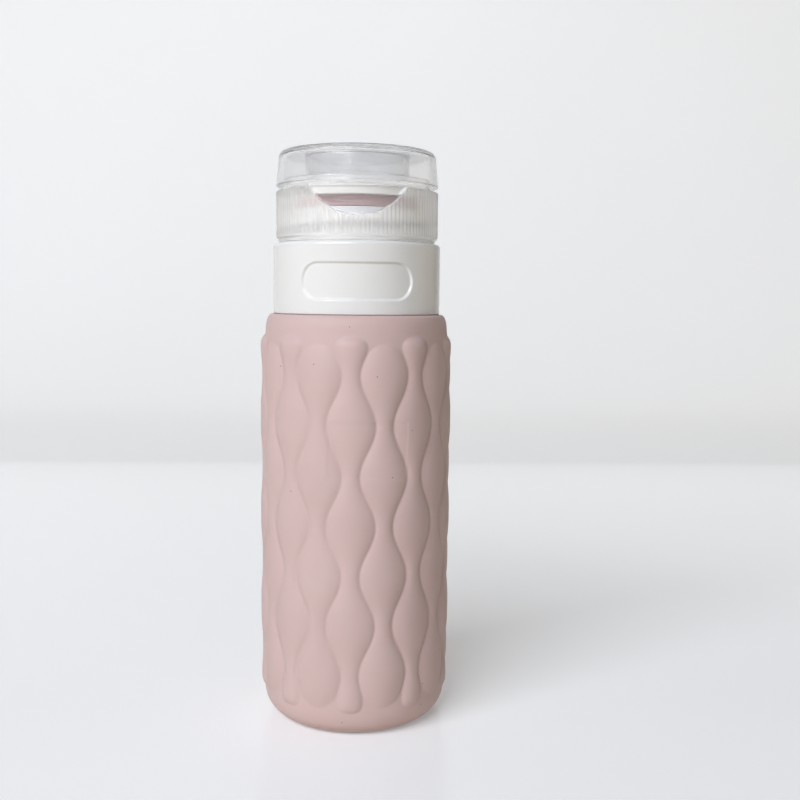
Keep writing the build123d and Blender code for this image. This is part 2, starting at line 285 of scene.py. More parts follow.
def mix_colour(nt, fac, start, end):
    """start where fac is 0, and the plain colour end where it is 1."""
    node = nt.nodes.new("ShaderNodeMix")
    node.data_type = "RGBA"
    nt.links.new(fac, node.inputs["Factor"])
    nt.links.new(start, colour_socket(node.inputs, "A"))
    colour_socket(node.inputs, "B").default_value = (*end, 1.0)
    return colour_socket(node.outputs, "Result")


def let_lamps_through(nt, bsdf, out, shade):
    """Rays from lamps pass the clear wall, dimmed to shade, so that what is behind it is lit."""
    clear = nt.nodes.new("ShaderNodeBsdfTransparent")
    clear.inputs["Color"].default_value = (shade, shade, shade, 1.0)
    path = nt.nodes.new("ShaderNodeLightPath")
    mix = nt.nodes.new("ShaderNodeMixShader")
    nt.links.new(path.outputs["Is Shadow Ray"], mix.inputs[0])
    nt.links.new(bsdf.outputs["BSDF"], mix.inputs[1])
    nt.links.new(clear.outputs["BSDF"], mix.inputs[2])
    nt.links.new(mix.outputs[0], out.inputs["Surface"])


def specks(nt, vector, cell, size, share):
    """1 on specks of dust of uneven outline, at most one in each cell, and 0 elsewhere."""
    warp_scale = 900.0
    warp_size = 0.0005
    warp = nt.nodes.new("ShaderNodeTexNoise")
    warp.inputs["Scale"].default_value = warp_scale
    nt.links.new(vector, warp.inputs["Vector"])
    warped = nt.nodes.new("ShaderNodeVectorMath")
    warped.operation = "MULTIPLY_ADD"
    nt.links.new(warp.outputs["Color"], warped.inputs[0])
    warped.inputs[1].default_value = (warp_size, warp_size, warp_size)
    nt.links.new(vector, warped.inputs[2])
    cells = nt.nodes.new("ShaderNodeTexVoronoi")
    cells.feature = "F1"
    cells.inputs["Scale"].default_value = 1.0 / cell
    nt.links.new(warped.outputs[0], cells.inputs["Vector"])
    cell_colour = nt.nodes.new("ShaderNodeSeparateColor")
    nt.links.new(cells.outputs["Color"], cell_colour.inputs[0])
    near = maths(nt, "LESS_THAN", cells.outputs["Distance"], size / cell)
    chosen = maths(nt, "LESS_THAN", cell_colour.outputs[0], share)
    return maths(nt, "MULTIPLY", near, chosen)


# pink silicone
PINK_DARK = (0.640, 0.478, 0.470)
PINK_LIGHT = (0.672, 0.512, 0.504)
# painted shade on the lip and neck under the cap's deck
LIP_SHADE_PINK = (0.58, 0.42, 0.42)
LIP_SHADE_FROM_Z = 0.100
LIP_SHADE_FULL_Z = 0.102
# painted shade in the grooves of the relief
GROOVE_SHADE_PINK = (0.50, 0.33, 0.325)
GROOVE_SHADE_REACH = 0.0034
GROOVE_SHADE_MIX = 0.62
GROOVE_OPENNESS = 0.45
PLAIN_OPENNESS = 0.95
PINK_DUST = (0.20, 0.13, 0.12)


def silicone(name):
    mat, nt, b, _ = new_material(name)
    c = coords(nt)
    base = clouded(nt, c, 55.0, PINK_DARK, PINK_LIGHT)
    # painted shade: from 100 mm up, the plug's top, the neck and the lip inside the cap are a darker pink,
    # for the shade under the cap's deck
    lip = remap(nt, part_of(nt, c, "Z"), 0.0, 1.0, from_low=LIP_SHADE_FROM_Z, from_high=LIP_SHADE_FULL_Z)
    base = mix_colour(nt, lip, base, LIP_SHADE_PINK)
    # painted shade: a darker pink where ambient occlusion finds the grooves, for the shade in them
    nearby = nt.nodes.new("ShaderNodeAmbientOcclusion")
    nearby.samples = 6
    nearby.inputs["Distance"].default_value = GROOVE_SHADE_REACH
    openness = nearby.outputs["AO"]
    groove_shade = remap(nt, openness, GROOVE_SHADE_MIX, 0.0, from_low=GROOVE_OPENNESS, from_high=PLAIN_OPENNESS)
    base = mix_colour(nt, groove_shade, base, GROOVE_SHADE_PINK)
    dust = specks(nt, c, cell=0.0034, size=0.00013, share=0.75)
    nt.links.new(mix_colour(nt, dust, base, PINK_DUST), b.inputs["Base Color"])
    nt.links.new(remap(nt, noise(nt, c, 300.0), 0.50, 0.60), b.inputs["Roughness"])
    set_inputs(b, {
        "IOR": 1.42, "Subsurface Weight": 0.15,
        "Subsurface Radius": (1.0, 0.55, 0.45), "Subsurface Scale": 0.0012,
    })
    soft = bump(nt, noise(nt, c, 700.0), strength=0.12, distance=0.0001)
    grain = bump(nt, noise(nt, c, 4200.0, detail=2.0), strength=0.22, distance=0.00003, normal=soft)
    nt.links.new(grain, b.inputs["Normal"])
    return mat


# glossy white plastic
WHITE_DARK = (0.835, 0.838, 0.845)
WHITE_LIGHT = (0.858, 0.861, 0.868)
WHITE_DUST = (0.45, 0.42, 0.36)


def glossy_white(name):
    mat, nt, b, _ = new_material(name)
    c = coords(nt)
    base = clouded(nt, c, 90.0, WHITE_DARK, WHITE_LIGHT)
    dust = specks(nt, c, cell=0.004, size=0.00009, share=0.5)
    nt.links.new(mix_colour(nt, dust, base, WHITE_DUST), b.inputs["Base Color"])
    nt.links.new(remap(nt, noise(nt, c, 260.0, detail=4.0), 0.10, 0.16), b.inputs["Roughness"])
    set_inputs(b, {
        "IOR": 1.5, "Subsurface Weight": 0.1,
        "Subsurface Radius": (1.0, 0.95, 0.9), "Subsurface Scale": 0.0006,
    })
    nt.links.new(bump(nt, noise(nt, c, 420.0), strength=0.05, distance=0.0001), b.inputs["Normal"])
    return mat


# milky and clear plastic
TINT_DEPTH = 0.97
COAT_ROUGHNESS = 0.12
POLISHED_COAT_ROUGHNESS = 0.035
POLISHED_CALM = 0.2


def milky_plastic(name, tint, clear, rough_low, rough_high, shade, ior, coat, ripple, scatter=0.0):
    """Translucent plastic. Returns its material, tree, shader, coordinates, colour and roughness."""
    mat, nt, b, out = new_material(name)
    c = coords(nt)
    base = clouded(nt, c, 160.0, tuple(v * TINT_DEPTH for v in tint), tint)
    nt.links.new(base, b.inputs["Base Color"])
    rough = remap(nt, noise(nt, c, 500.0, detail=4.0), rough_low, rough_high)
    nt.links.new(rough, b.inputs["Roughness"])
    set_inputs(b, {
        "IOR": ior, "Transmission Weight": clear,
        "Subsurface Weight": scatter, "Subsurface Radius": (1.0, 0.95, 0.85), "Subsurface Scale": 0.003,
        "Coat Weight": coat, "Coat Roughness": COAT_ROUGHNESS, "Coat IOR": 1.45,
    })
    nt.links.new(bump(nt, noise(nt, c, 380.0), strength=ripple, distance=0.0001), b.inputs["Normal"])
    let_lamps_through(nt, b, out, shade)
    return mat, nt, b, c, base, rough


CAP_TINT = (0.985, 0.978, 0.965)
CAP_CLEAR = 0.66
CAP_COAT = 0.45
CAP_FINISH = {
    "tint": CAP_TINT, "clear": CAP_CLEAR, "rough_low": 0.18, "rough_high": 0.26, "shade": 0.46,
    "ior": 1.18, "coat": CAP_COAT, "ripple": 0.05, "scatter": 0.5,
}
# painted shade: a greyer tint on the thin window, which darkens what is seen behind it
WINDOW_SHADE_TINT = (0.895, 0.89, 0.905)
WINDOW_CLEAR = 0.95
# partly painted highlight: the deck's edge is thick milky plastic, and is made milkier still so that it shows
# bright
DECK_EDGE_HIGHLIGHT_CLEAR = 0.10

# values of the cap's thin_wall attribute, which the mesh carries at each of its points
DECK_EDGE_WALL = 0.0
PLAIN_WALL = 0.5
SEAT_RIM_WALL = 0.85
WINDOW_WALL = 1.0


def cap_plastic(name):
    """Milky plastic, clearer where thin_wall is high and milkier at the deck's edge. Both are polished. The
    thin window is tinted greyer as painted shade on what is behind it, and the deck's edge, thick milky
    plastic, is made milkier still as a painted highlight.
    """
    mat, nt, b, _, base, rough = milky_plastic(name, **CAP_FINISH)
    attribute = nt.nodes.new("ShaderNodeAttribute")
    attribute.attribute_name = "thin_wall"
    wall = attribute.outputs["Fac"]
    # painted shade: the thin window is tinted greyer, so the neck behind it looks as dark as in shade
    window_shade = remap(nt, wall, 0.0, 1.0, from_low=0.87, from_high=WINDOW_WALL)
    nt.links.new(mix_colour(nt, window_shade, base, WINDOW_SHADE_TINT), b.inputs["Base Color"])
    clearness = ((DECK_EDGE_WALL, DECK_EDGE_HIGHLIGHT_CLEAR), (PLAIN_WALL, CAP_CLEAR), (WINDOW_WALL, WINDOW_CLEAR))
    nt.links.new(grey_ramp(nt, wall, clearness), b.inputs["Transmission Weight"])
    calm = remap(nt, wall, 1.0, POLISHED_CALM, from_low=PLAIN_WALL, from_high=WINDOW_WALL)
    nt.links.new(maths(nt, "MULTIPLY", rough, calm), b.inputs["Roughness"])
    finishes = (("Coat Roughness", COAT_ROUGHNESS, POLISHED_COAT_ROUGHNESS), ("Coat Weight", CAP_COAT, 1.0))
    for socket, plain, polished in finishes:
        stops = ((0.3, polished), (0.45, plain), (0.55, plain), (0.8, polished))
        nt.links.new(grey_ramp(nt, wall, stops), b.inputs[socket])
    return mat


def hinge_plastic(name):
    return milky_plastic(name, **CAP_FINISH)[0]


LID_TINT = (0.94, 0.94, 0.945)
# painted shade: a greyer tint inside the hanging ring
LID_CORE_SHADE_TINT = (0.88, 0.882, 0.89)
LID_CORE_R = 0.0116
LID_CORE_EDGE_R = 0.0122
LID_FINISH = {
    "tint": LID_TINT, "clear": 0.93, "rough_low": 0.13, "rough_high": 0.17, "shade": 0.66,
    "ior": 1.25, "coat": 0.3, "ripple": 0.015,
}


def lid_plastic(name):
    """Clear plastic, with painted shade: a little greyer inside the hanging ring, where the lid looks darker.
    """
    mat, nt, b, c, base, _ = milky_plastic(name, **LID_FINISH)
    flat = nt.nodes.new("ShaderNodeCombineXYZ")
    for axis in ("X", "Y"):
        nt.links.new(part_of(nt, c, axis), flat.inputs[axis])
    core = remap(nt, length_of(nt, flat.outputs[0]), 1.0, 0.0, from_low=LID_CORE_R, from_high=LID_CORE_EDGE_R)
    nt.links.new(mix_colour(nt, core, base, LID_CORE_SHADE_TINT), b.inputs["Base Color"])
    return mat


# milky silicone of the valve
VALVE_DARK = (0.78, 0.79, 0.80)
VALVE_LIGHT = (0.84, 0.85, 0.86)


def valve_silicone(name):
    mat, nt, b, out = new_material(name)
    c = coords(nt)
    nt.links.new(clouded(nt, c, 200.0, VALVE_DARK, VALVE_LIGHT), b.inputs["Base Color"])
    nt.links.new(remap(nt, noise(nt, c, 600.0), 0.38, 0.48), b.inputs["Roughness"])
    set_inputs(b, {"IOR": 1.42, "Transmission Weight": 0.45})
    nt.links.new(bump(nt, noise(nt, c, 1500.0), strength=0.1, distance=0.00005), b.inputs["Normal"])
    let_lamps_through(nt, b, out, shade=0.6)
    return mat


def dress(ob, mat, body, slot, *nodes):
    """Gives a piece its material, hangs it on the empty of the body that it rides on, and hides the CAD nodes
    that it stands for.
    """
    ob.data.materials.append(mat)
    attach(ob, body)
    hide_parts(*nodes)


# squeeze body: outside
BODY_R = 21.5
BAND_R = 20.6
FOOT_CORNER_R = 6.0
FOOT_CORNER_STEPS = 18
FOOT_RINGS = (0.0, 5.0, 10.0, 13.2)
WALL_TOP_Z = 87.5
WALL_STEP = 0.25
TAPER = 0.5
TAPER_FOOT_Z = 84.0
TAPER_H = 7.0
BODY_TOP_Z = 91.0
SHOULDER_R = 18.9
BROW_STEPS = 12
BROW_FULLNESS = 0.9
BODY_COLUMNS = 576

# squeeze body: plug, neck and inside
PLUG_R = 17.2
PLUG_TOP_Z = 104.45
SOFT_NECK_R = 12.8
LIP_R = 14.5
LIP_FOOT_Z = 113.8
LIP_TOP_Z = 116.2
MOUTH_R = 11.3
THROAT_Z = 102.9
PLUG_BORE_R = 15.2
PLUG_BORE_TOP_Z = 102.4
PLUG_BORE_FOOT_Z = 90.5
INNER_SHOULDER_R = 17.1
INNER_SHOULDER_Z = 88.6
HOLLOW_R = 18.9
HOLLOW_TOP_Z = 80.5
HOLLOW_FLOOR_Z = 2.4
PLUG_FOOT_EDGE = 0.15
PLUG_TOP_EDGE = 0.3
SOFT_NECK_ROOT_EDGE = 0.2
LIP_ROOT_EDGE = 0.1
LIP_FOOT_EDGE = 0.3
LIP_TOP_EDGE = 0.45
MOUTH_EDGE = 0.35
THROAT_EDGE = 0.5
PLUG_BORE_EDGE = 0.8
INNER_SHOULDER_EDGE = 2.0
HOLLOW_TOP_EDGE = 6.0
HOLLOW_FLOOR_EDGE = 4.0

# squeeze body: wave relief, where wide drops of one column lie beside the waists of the next
COLUMN_PITCH = 40.0
WIDE_AT = 17.2
NARROW_AT = WIDE_AT - COLUMN_PITCH / 2
WAVE_FOOT_Z = 14.4
WAVE_TOP_Z = 78.6
WAVE_LENGTH = 21.4
MEAN_HALF_W = 10.0
SWING_HALF_W = 4.75
WAIST_HALF_W = MEAN_HALF_W - SWING_HALF_W
WAIST_RISE = 0.55
BELLY_RISE = 0.9
LOBE_FULLNESS = 2.05
LOBE_STEEPNESS = 0.82
WIDE_TOP_H = 6.4
WIDE_FOOT_H = 7.3
FLARE_FULLNESS = 2.4
FLARE_TOP_HALF_W = 9.4
FLARE_TOP_H = 5.7
FLARE_TOP_END_H = 2.2
FLARE_TOP_EXTRA = 0.3
FLARE_FOOT_START_HALF_W = 5.0
FLARE_FOOT_HALF_W = 7.4
FLARE_FOOT_H = 5.0
FLARE_FOOT_END_Z = 8.4
FLARE_FOOT_END_H = 2.3
FLARE_FOOT_EXTRA = 0.2
FLARE_EXTRA_H = 5.0
RELIEF_BLUR = 0.7
RELIEF_FADE_H = 0.6

# squeeze body: bare panel at the front and the mould's parting lines
PANEL_AT = 7.2
PANEL_Z = 62.95
PANEL_HALF_W = 9.0
PANEL_HALF_H = 6.05
PANEL_EDGE = 0.3
PANEL_DEPTH = 0.08
PARTING_RISE = 0.04
PARTING_HALF_W = 0.16


def lobe(u):
    """Rounded height, 1 in the middle of a drop, where u is 0, and 0 from u = 1 on."""
    return np.clip(1.0 - u ** LOBE_FULLNESS, 0.0, 1.0) ** LOBE_STEEPNESS


def to_column(angle, centre):
    return (angle - centre + COLUMN_PITCH / 2) % COLUMN_PITCH - COLUMN_PITCH / 2


def crest(half_w):
    """A column's rise by its half width: high on its drops and low on its waists."""
    share = smoothstep((half_w - WAIST_HALF_W) / (2 * SWING_HALF_W))
    return WAIST_RISE + (BELLY_RISE - WAIST_RISE) * share


def wide_column(angle, z, wave):
    """Columns that begin and end in a wide drop with a round end."""
    half_w = MEAN_HALF_W + SWING_HALF_W * wave
    past = np.where(z > WAVE_TOP_Z, (z - WAVE_TOP_Z) / WIDE_TOP_H, 0.0)
    past = np.where(z < WAVE_FOOT_Z, (WAVE_FOOT_Z - z) / WIDE_FOOT_H, past)
    u = np.hypot(to_column(angle, WIDE_AT) / half_w, past)
    return lobe(u) * crest(half_w)


def narrow_column(angle, z, wave):
    """Columns that begin and end in a waist with a small flared end."""
    over = z - WAVE_TOP_Z
    under = WAVE_FOOT_Z - z
    waved = MEAN_HALF_W - SWING_HALF_W * wave
    top_w = WAIST_HALF_W + (FLARE_TOP_HALF_W - WAIST_HALF_W) * smoothstep(over / FLARE_TOP_H)
    foot_growth = FLARE_FOOT_HALF_W - FLARE_FOOT_START_HALF_W
    foot_w = FLARE_FOOT_START_HALF_W + foot_growth * smoothstep(under / FLARE_FOOT_H)
    half_w = np.where(under > 0, foot_w, np.where(over > 0, top_w, waved))
    end = np.maximum((over - FLARE_TOP_H) / FLARE_TOP_END_H, (FLARE_FOOT_END_Z - z) / FLARE_FOOT_END_H)
    across = np.abs(to_column(angle, NARROW_AT) / half_w)
    u = (across ** FLARE_FULLNESS + np.maximum(end, 0.0) ** FLARE_FULLNESS) ** (1 / FLARE_FULLNESS)
    extra = FLARE_TOP_EXTRA * smoothstep(over / FLARE_EXTRA_H)
    extra += FLARE_FOOT_EXTRA * smoothstep(under / FLARE_EXTRA_H)
    return lobe(u) * np.minimum(crest(waved) + extra, BELLY_RISE)


def relief(angle, z):
    """Height of the wave relief over the plain bands."""
    along = (np.clip(z, WAVE_FOOT_Z, WAVE_TOP_Z) - WAVE_FOOT_Z) / WAVE_LENGTH
    wave = np.cos(2 * np.pi * along)
    return np.maximum(wide_column(angle, z, wave), narrow_column(angle, z, wave))


def blurred(field, sigma):
    """Gaussian blur of a field by sigma grid steps. Its columns wrap round."""
    reach = max(1, math.ceil(3 * sigma))
    steps = np.arange(-reach, reach + 1)
    kernel = np.exp(-0.5 * (steps / sigma) ** 2)
    kernel = kernel / kernel.sum()
    field = sum(weight * np.roll(field, step, axis=1) for weight, step in zip(kernel, steps))
    padded = np.pad(field, ((reach, reach), (0, 0)), mode="edge")
    return sum(weight * padded[i:i + len(field)] for i, weight in enumerate(kernel))


def panel(angle, z):
    """1 on the bare panel at the front, 0 elsewhere."""
    across = arc_length(wrap(angle - PANEL_AT), BODY_R)
    inside_w = smoothstep((PANEL_HALF_W - across) / PANEL_EDGE)
    return inside_w * smoothstep((PANEL_HALF_H - np.abs(z - PANEL_Z)) / PANEL_EDGE)


def body_surface(angle, z):
    """Height over the plain bands. It is for the wall only, so the parting lines end with it."""
    field = blurred(relief(angle, z), RELIEF_BLUR)
    field *= smoothstep((z - FOOT_CORNER_R) / RELIEF_FADE_H)
    field -= PANEL_DEPTH * panel(angle, z)
    for at in (PANEL_AT + SIDE, PANEL_AT - SIDE):
        across = arc_length(wrap(angle - at), BODY_R)
        field += PARTING_RISE * np.exp(-(across / PARTING_HALF_W) ** 2)
    return np.minimum(field, BODY_R - BAND_R)


def body_foot():
    corner_r = BAND_R - FOOT_CORNER_R
    points = [(r, 0.0) for r in (*FOOT_RINGS, corner_r)]
    for k in range(1, FOOT_CORNER_STEPS):
        a = math.radians(-90 + 90 * k / FOOT_CORNER_STEPS)
        points.append((corner_r + FOOT_CORNER_R * math.cos(a), FOOT_CORNER_R + FOOT_CORNER_R * math.sin(a)))
    return points


def body_wall():
    heights = np.arange(FOOT_CORNER_R, WALL_TOP_Z + WALL_STEP / 2, WALL_STEP)
    return [(BAND_R - TAPER * smoothstep((z - TAPER_FOOT_Z) / TAPER_H), z) for z in heights]


def body_brow(wall_top_r):
    """The round edge from the top of the wall in to the shoulder, under the collar's foot."""
    points = []
    for k in range(1, BROW_STEPS + 1):
        a = math.radians(90 * k / BROW_STEPS)
        r = SHOULDER_R + (wall_top_r - SHOULDER_R) * math.cos(a) ** BROW_FULLNESS
        points.append((r, WALL_TOP_Z + (BODY_TOP_Z - WALL_TOP_Z) * math.sin(a)))
    return points


def body_inside():
    """Plug, neck, lip and hollow. The first corner is left out, as the brow already ends there."""
    return rounded_loop([
        (SHOULDER_R, BODY_TOP_Z, 0),
        (PLUG_R, BODY_TOP_Z, PLUG_FOOT_EDGE),
        (PLUG_R, PLUG_TOP_Z, PLUG_TOP_EDGE),
        (SOFT_NECK_R, PLUG_TOP_Z, SOFT_NECK_ROOT_EDGE),
        (SOFT_NECK_R, LIP_FOOT_Z, LIP_ROOT_EDGE),
        (LIP_R, LIP_FOOT_Z, LIP_FOOT_EDGE),
        (LIP_R, LIP_TOP_Z, LIP_TOP_EDGE),
        (MOUTH_R, LIP_TOP_Z, MOUTH_EDGE),
        (MOUTH_R, THROAT_Z, THROAT_EDGE),
        (PLUG_BORE_R, PLUG_BORE_TOP_Z, PLUG_BORE_EDGE),
        (PLUG_BORE_R, PLUG_BORE_FOOT_Z, PLUG_BORE_EDGE),
        (INNER_SHOULDER_R, INNER_SHOULDER_Z, INNER_SHOULDER_EDGE),
        (HOLLOW_R, HOLLOW_TOP_Z, HOLLOW_TOP_EDGE),
        (HOLLOW_R, HOLLOW_FLOOR_Z, HOLLOW_FLOOR_EDGE),
        (0.0, HOLLOW_FLOOR_Z, 0),
    ], steps=5)[1:]


def make_body():
    angles = even_angles(BODY_COLUMNS)
    foot = body_foot()
    wall = body_wall()
    brow = body_brow(wall[-1][0])
    r, z, a = spread(foot + wall + brow + body_inside(), angles)
    rows = slice(len(foot), len(foot) + len(wall))
    r[rows] += body_surface(a[rows], z[rows])
    ob = grid_mesh("squeeze_body_skin", r, z, angles, sharp=40.0)
    dress(ob, silicone("silicone_pink"), "bottle", "silicone_pink", "squeeze_body")


make_body()

# screw thread of the collar's neck and the cap's bore
THREAD_PITCH = 3.0
THREAD_TURNS = 1.25
THREAD_DEPTH = 1.1
THREAD_START = 25.0
THREAD_ROOT_HALF_W = 0.8
THREAD_CREST_HALF_W = 0.35
THREAD_RUN_OUT = 14.0
NECK_THREAD_Z = 109.0
BORE_THREAD_Z = NECK_THREAD_Z - THREAD_PITCH / 2


def thread_height(angle, z, start_z):
    """Height of a right-hand screw ridge that starts THREAD_START past +X and at start_z."""
    turn = (angle - SIDE - THREAD_START) % 360.0
    total = 360.0 * THREAD_TURNS
    height = np.zeros_like(z)
    for k in range(math.ceil(THREAD_TURNS)):
        along = turn + 360.0 * k
        off = np.abs(z - start_z - THREAD_PITCH * along / 360.0)
        ends = smoothstep(along / THREAD_RUN_OUT) * smoothstep((total - along) / THREAD_RUN_OUT)
        flank = np.clip((THREAD_ROOT_HALF_W - off) / (THREAD_ROOT_HALF_W - THREAD_CREST_HALF_W), 0, 1)
        height = np.maximum(height, flank * ends * THREAD_DEPTH)
    return height


# collar
COLLAR_R = 18.6
SKIRT_IN_R = 17.3
COLLAR_FOOT_Z = 91.05
COLLAR_TOP_Z = 106.5
WEB_FOOT_Z = 104.5
SCREW_NECK_R = 14.5
SCREW_NECK_BORE_R = 12.9
SCREW_NECK_TOP_Z = 113.75
SKIRT_IN_EDGE = 0.1
COLLAR_FOOT_EDGE = 0.3
COLLAR_TOP_EDGE = 0.8
SCREW_NECK_ROOT_EDGE = 0.5
SCREW_NECK_EDGE = 0.15
WEB_FOOT_EDGE = 0.3
LABEL_Z = 98.1
LABEL_HALF_H = 3.9
LABEL_HALF_ARC = 26.9
LABEL_DEPTH = 0.45
LABEL_EDGE_OUT = 0.2
LABEL_EDGE = 0.55
COLLAR_FINE_HALF_ARC = 42.0
COLLAR_WALL_FROM_R = 18.3
POCKET_WALL_FROM_R = 18.55
POCKET_ROWS_FOOT_Z = 93.7
POCKET_ROWS_TOP_Z = 102.5
NECK_ROWS_FROM_Z = 106.8
NECK_THREAD_FROM_Z = 106.9
NECK_THREAD_TO_Z = 113.6
BY_FACE = 0.2
ON_FACE = 0.01
COLLAR_FINE_ROW = 0.16
COLLAR_WALL_ROW = 0.6
COLLAR_ROW = 1.2


def collar_longest(r, z):
    """Fine rows for the pocket and the thread, coarse ones elsewhere."""
    if r > COLLAR_WALL_FROM_R:
        return COLLAR_FINE_ROW if POCKET_ROWS_FOOT_Z < z < POCKET_ROWS_TOP_Z else COLLAR_WALL_ROW
    return COLLAR_FINE_ROW if abs(r - SCREW_NECK_R) < BY_FACE and z > NECK_ROWS_FROM_Z else COLLAR_ROW


def collar_shift(r, z, a):
    """Cuts the obround label pocket into the wall, and raises the thread on the neck."""
    a = wrap(a)
    past_arc = np.maximum(arc_length(a, COLLAR_R) - arc_length(LABEL_HALF_ARC, COLLAR_R), 0.0)
    inside = LABEL_HALF_H - np.hypot(past_arc, z - LABEL_Z)
    pocket = LABEL_DEPTH * smoothstep((inside + LABEL_EDGE_OUT) / LABEL_EDGE)
    r = np.where(r > POCKET_WALL_FROM_R, r - pocket, r)
    threaded = (np.abs(r - SCREW_NECK_R) < ON_FACE) & (z > NECK_THREAD_FROM_Z) & (z < NECK_THREAD_TO_Z)
    return np.where(threaded, r + thread_height(a, z, NECK_THREAD_Z), r)


def make_collar():
    angles = mixed_angles(-COLLAR_FINE_HALF_ARC, COLLAR_FINE_HALF_ARC, fine_step=0.35, coarse_step=1.5)
    loop = rounded_loop([
        (SKIRT_IN_R, COLLAR_FOOT_Z, SKIRT_IN_EDGE),
        (COLLAR_R, COLLAR_FOOT_Z, COLLAR_FOOT_EDGE),
        (COLLAR_R, COLLAR_TOP_Z, COLLAR_TOP_EDGE),
        (SCREW_NECK_R, COLLAR_TOP_Z, SCREW_NECK_ROOT_EDGE),
        (SCREW_NECK_R, SCREW_NECK_TOP_Z, SCREW_NECK_EDGE),
        (SCREW_NECK_BORE_R, SCREW_NECK_TOP_Z, SCREW_NECK_EDGE),
        (SCREW_NECK_BORE_R, WEB_FOOT_Z, SCREW_NECK_EDGE),
        (SKIRT_IN_R, WEB_FOOT_Z, WEB_FOOT_EDGE),
    ], steps=7)
    ob = turned("collar_shell", subdivided(loop, collar_longest), angles, collar_shift, sharp=38.0)
    dress(ob, glossy_white("collar_white"), "bottle", "collar_white", "collar")


make_collar()

# cap base
CAP_R = 18.0
CAP_FOOT_R = 17.4
CAP_FOOT_Z = 106.65
CAP_FOOT_TOP_Z = 107.25
CAP_BAND_Z = 107.65
CAP_BORE_R = 15.9
DECK_TOP_Z = 117.8
DECK_FOOT_Z = 116.3
SEAT_RIM_R = 16.5
SEAT_RIM_IN_R = 15.6
SEAT_RIM_TOP_Z = 120.2
ORIFICE_R = 6.0
SEAT_TUBE_R = 8.9
SEAT_TUBE_OUT_R = 10.2
SEAT_TUBE_FOOT_Z = 112.8
BEAD_R = 8.3
BEAD_TOP_Z = 113.8
BEAD_FOOT_Z = 113.3
CAP_BORE_EDGE = 0.15
CAP_FOOT_EDGE = 0.2
CAP_STEP_EDGE = 0.1
CAP_BAND_EDGE = 0.25
CAP_TOP_EDGE = 0.18
SEAT_RIM_ROOT_EDGE = 0.15
SEAT_RIM_EDGE = 0.3
SEAT_RIM_IN_EDGE = 0.25
ORIFICE_EDGE = 0.1
BEAD_TOP_EDGE = 0.05
BEAD_EDGE = 0.1
SEAT_TUBE_IN_EDGE = 0.15
SEAT_TUBE_EDGE = 0.3
SEAT_TUBE_ROOT_EDGE = 0.2
DECK_FOOT_EDGE = 0.3
CAP_COLUMNS = 960
CAP_OUTER_FROM_R = 17.78
CAP_WALL_FROM_R = 17.9
CAP_WALL_ROWS_FROM_Z = 107.7
SCOOP_ROWS_FROM_Z = 111.9
BORE_ROWS_TO_Z = 116.0
BORE_THREAD_FROM_Z = 106.9
BORE_THREAD_TO_Z = 115.9
SCOOP_ROW = 0.12
GROOVE_ROW = 0.25
BORE_ROW = 0.22
CAP_ROW = 1.0

# grip grooves, thumb scoop and the flat pad behind the hinge
GROOVES = 120
GROOVE_DEPTH = 0.13
GROOVE_HALF_W = 0.34
GROOVE_SHARPNESS = 1.5
GROOVE_FOOT_Z = 107.85
GROOVE_FADE_H = 0.35
SCOOP_R = 12.0
SCOOP_Z = 123.6
SCOOP_FLOOR_R = 16.8
SCOOP_HALF_ARC = 60.0
SCOOP_EDGE_OUT = 0.05
SCOOP_EDGE = 0.32
OUT_OF_SCOOP = -9.0
PAD_Y = 18.3
PAD_HALF_W = 5.5
PAD_HALF_ARC = 25.0
PAD_SIDE_EDGE = 0.25
PAD_END_EDGE = 0.3
CAP_PAD_FOOT_Z = 115.05
LID_PAD_TOP_Z = 121.75

# where the scoop's wall is thin
WINDOW_EDGE_IN = 0.1
WINDOW_EDGE = 0.3
WINDOW_TOP_Z = 116.15
WINDOW_TOP_EDGE = 0.12
WINDOW_FRONT_Y = -10.0
WINDOW_IN_R = 15.0
SEAT_RIM_FROM_Z = 117.95


def pad_at_back(angle, end_share):
    """How far the flat pad at the back shows, which end_share fades out along Z, and its radius."""
    off = wrap(angle - BACK)
    back = np.abs(off) < PAD_HALF_ARC
    across = np.abs(CAP_R * np.sin(np.radians(off)))
    share = np.where(back, smoothstep((PAD_HALF_W - across) / PAD_SIDE_EDGE) * end_share, 0.0)
    return share, PAD_Y / np.cos(np.radians(np.where(back, off, 0)))


def groove_depth(angle, z):
    pitch = 360.0 / GROOVES
    across = arc_length((angle + pitch / 2) % pitch - pitch / 2, CAP_R)
    depth = GROOVE_DEPTH * np.cos(np.clip(across / GROOVE_HALF_W, 0, 1) * math.pi / 2) ** GROOVE_SHARPNESS
    return depth * smoothstep((z - GROOVE_FOOT_Z) / GROOVE_FADE_H)


def cap_longest(r, z):
    """Fine rows for the scoop, medium ones for the grooves and the thread, coarse ones elsewhere."""
    if r > CAP_WALL_FROM_R and z > CAP_WALL_ROWS_FROM_Z:
        return SCOOP_ROW if z > SCOOP_ROWS_FROM_Z else GROOVE_ROW
    return BORE_ROW if abs(r - CAP_BORE_R) < BY_FACE and z < BORE_ROWS_TO_Z else CAP_ROW


